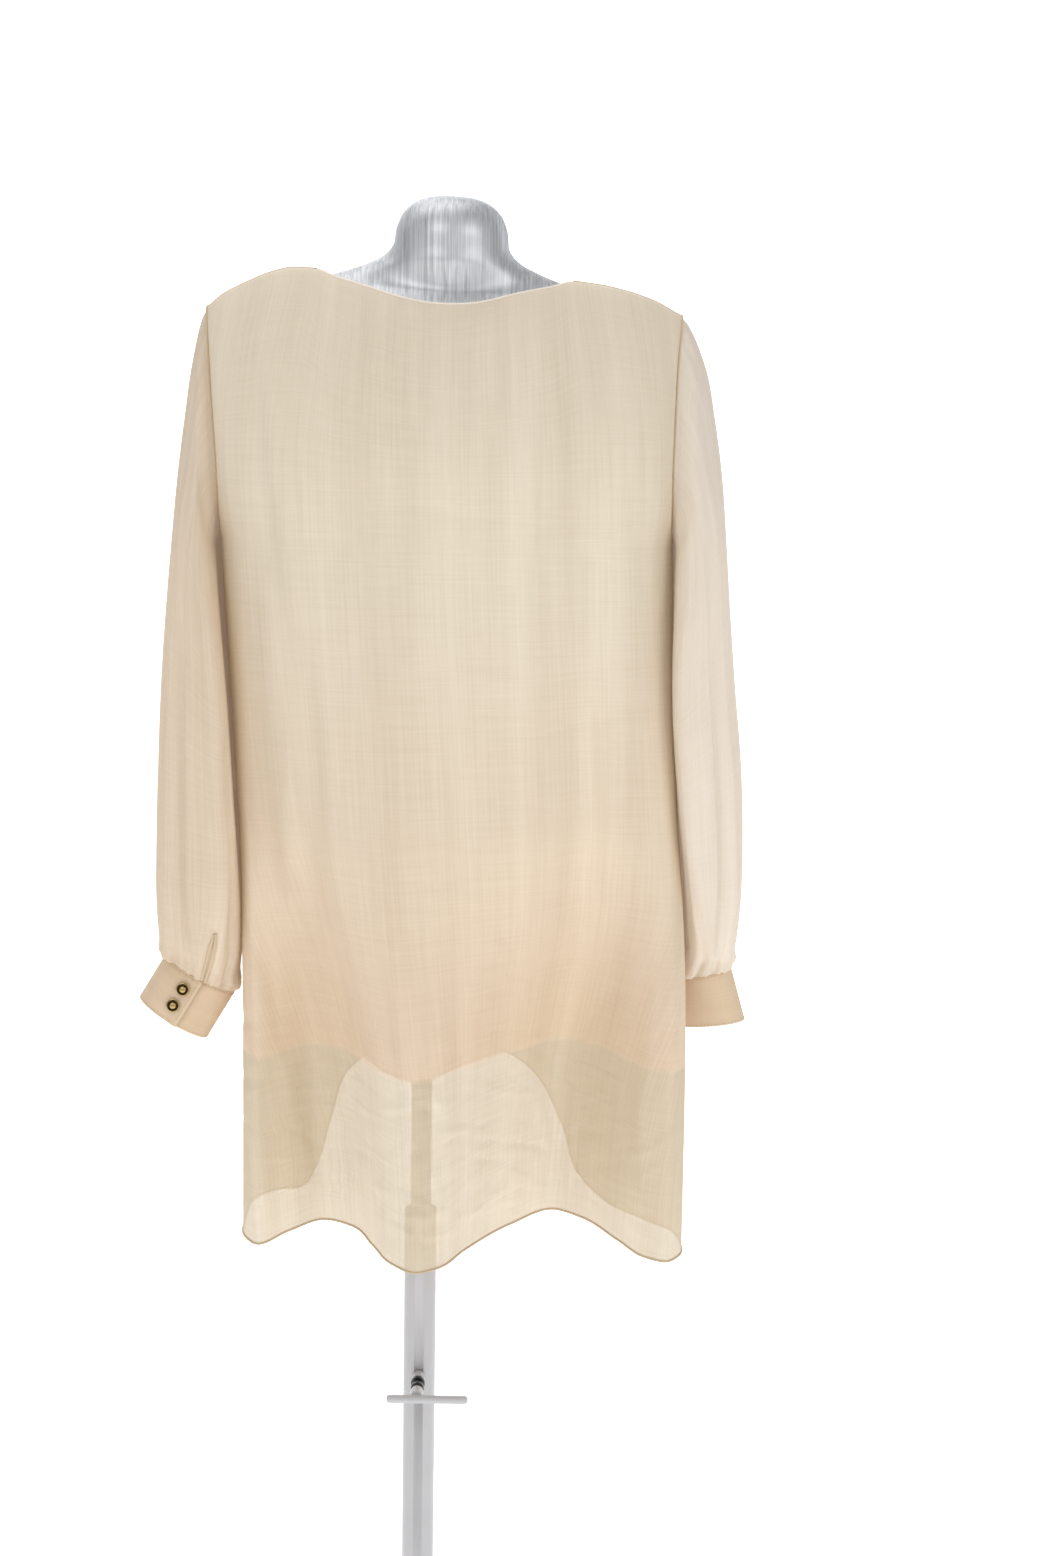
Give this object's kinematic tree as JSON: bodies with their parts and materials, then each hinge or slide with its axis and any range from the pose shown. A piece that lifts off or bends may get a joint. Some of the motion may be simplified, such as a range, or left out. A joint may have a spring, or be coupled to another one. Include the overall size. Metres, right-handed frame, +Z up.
{
  "type": "long-sleeved tunic blouse on a limbless dress form",
  "caption": "Hip-length tunic blouse of sheer cream chiffon over a peach lining, with buttoned cuffs and a boat neck, worn by a silver limbless dress form on a round base.",
  "frame": {"origin": "on the floor at the middle of the round base, under the axis of the lower tube", "axes": "+Z up, -Y towards the front of the blouse, +X towards the wearer's left sleeve"},
  "size_m": [0.5627, 0.3551, 1.4902],
  "materials": {
    "cream_chiffon": "sheer crinkled chiffon, soft sheen",
    "peach_lining": "plain light lining cloth",
    "antique_brass": "dark antique brass, polished rim",
    "silver_paint": "brushed silver paint, upright strokes",
    "white_coat": "white powder coat, satin",
    "grey_nylon": "moulded nylon",
    "zinc_steel": "bright zinc plate"
  },
  "bodies": {
    "stand": {"base_plate": "white_coat", "base_socket": "white_coat", "lower_tube": "white_coat", "tube_collar": "grey_nylon", "clamp_boss": "white_coat"},
    "form": {"form_torso": "silver_paint", "form_flange": "white_coat", "upper_tube": "zinc_steel", "back": "cream_chiffon", "front": "cream_chiffon", "sleeve_left": "cream_chiffon", "sleeve_right": "cream_chiffon", "cuff_left": "cream_chiffon", "cuff_right": "cream_chiffon", "placket_left": "cream_chiffon", "placket_right": "cream_chiffon", "neck_binding": "cream_chiffon", "lining_back": "peach_lining", "lining_front": "peach_lining", "button_left_upper": "antique_brass", "button_left_lower": "antique_brass", "button_right_upper": "antique_brass", "button_right_lower": "antique_brass"},
    "clamp": {"clamp_screw": "zinc_steel", "clamp_hub": "white_coat", "clamp_handle": "white_coat"}
  },
  "joints": [
    {"name": "height_slide", "type": "slide", "parent": "stand", "child": "form", "axis": [0, 0, 1], "range_m": [-0.08, 0.2]},
    {"name": "clamp_turn", "type": "hinge", "parent": "stand", "child": "clamp", "pos_m": [0, 0.04, 0.402], "axis": [0, 1, 0], "range_deg": [0, 180]}
  ]
}
